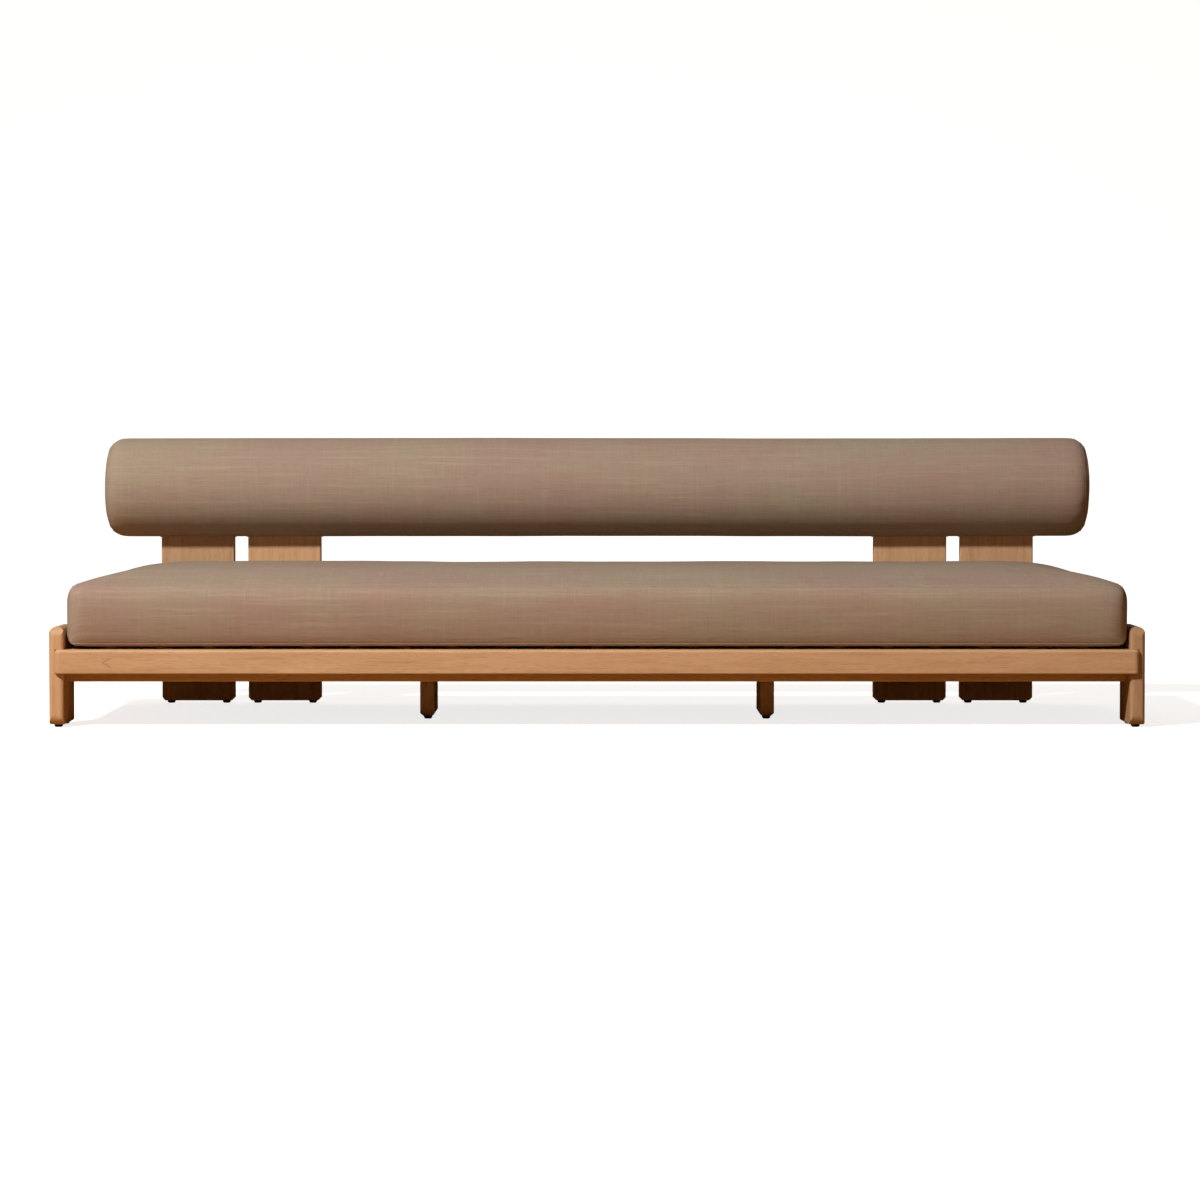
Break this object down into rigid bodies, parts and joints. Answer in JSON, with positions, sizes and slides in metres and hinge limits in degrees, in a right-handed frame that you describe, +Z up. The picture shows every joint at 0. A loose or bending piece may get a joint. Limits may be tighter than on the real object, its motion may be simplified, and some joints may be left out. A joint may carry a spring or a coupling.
{
  "type": "daybed",
  "caption": "Long low teak daybed: a loose boxed seat cushion on a slatted frame between slab end legs, with a bolster back that slips over upright planks.",
  "frame": {"origin": "on the floor under the middle of the whole daybed", "axes": "+X along the length towards the right-hand end seen from the front, +Y towards the planks at the back, +Z up"},
  "size_m": [2.743, 1.138, 0.729],
  "materials": {
    "teak": "matte",
    "plywood": "matte",
    "fabric": "matte",
    "zip_tape": "matte",
    "zip_metal": "satin",
    "steel": "satin",
    "glide": "matte"
  },
  "bodies": {
    "frame": {"front_rail": "teak", "rear_rail": "teak", "front_leg_right": "teak", "front_leg_left": "teak", "side_rail_right": "teak", "side_rail_left": "teak", "front_ledger": "teak", "rear_ledger": "teak", "slat_strip": "teak", "cross_beam_right": "teak", "cross_beam_left": "teak", "middle_leg_right": "teak", "middle_leg_left": "teak", "back_plank_outer_left": "teak", "back_plank_inner_left": "teak", "back_plank_inner_right": "teak", "back_plank_outer_right": "teak", "slat_01": "teak", "slat_02": "teak", "slat_03": "teak", "slat_04": "teak", "slat_05": "teak", "slat_06": "teak", "slat_07": "teak", "slat_08": "teak", "slat_09": "teak", "slat_10": "teak", "slat_11": "teak", "slat_12": "teak", "slat_13": "teak", "slat_14": "teak", "slat_15": "teak", "slat_16": "teak", "slat_17": "teak", "slat_18": "teak", "slat_19": "teak", "slat_20": "teak", "slat_21": "teak", "slat_22": "teak", "front_leg_glides": "glide", "middle_leg_glides": "glide", "plank_glides": "glide", "slat_screws": "steel", "plank_bolts": "steel", "plank_nuts": "steel", "middle_leg_bolts": "steel", "middle_leg_nuts": "steel"},
    "seat": {"seat_cushion": "fabric", "seat_zip": "zip_tape"},
    "seat_zip_runner": {"seat_zip_slider": "zip_metal"},
    "bolster": {"bolster_cushion": "fabric", "beam_front_board": "plywood", "beam_back_board": "plywood", "beam_cap": "plywood", "beam_blocks": "plywood", "beam_screws": "steel", "bolster_zip": "zip_tape"},
    "bolster_zip_runner": {"bolster_zip_slider": "zip_metal"}
  },
  "joints": [
    {"name": "seat_slide", "type": "slide", "parent": "frame", "child": "seat", "axis": [0, -1, 0], "range_m": [0, 0.25]},
    {"name": "bolster_lift", "type": "slide", "parent": "frame", "child": "bolster", "axis": [0, 0, 1], "range_m": [0, 0.24]},
    {"name": "seat_zip_slide", "type": "slide", "parent": "seat", "child": "seat_zip_runner", "axis": [-1, 0, 0], "range_m": [0, 2.29]},
    {"name": "bolster_zip_slide", "type": "slide", "parent": "bolster", "child": "bolster_zip_runner", "axis": [-1, 0, 0], "range_m": [0, 2.29]}
  ]
}
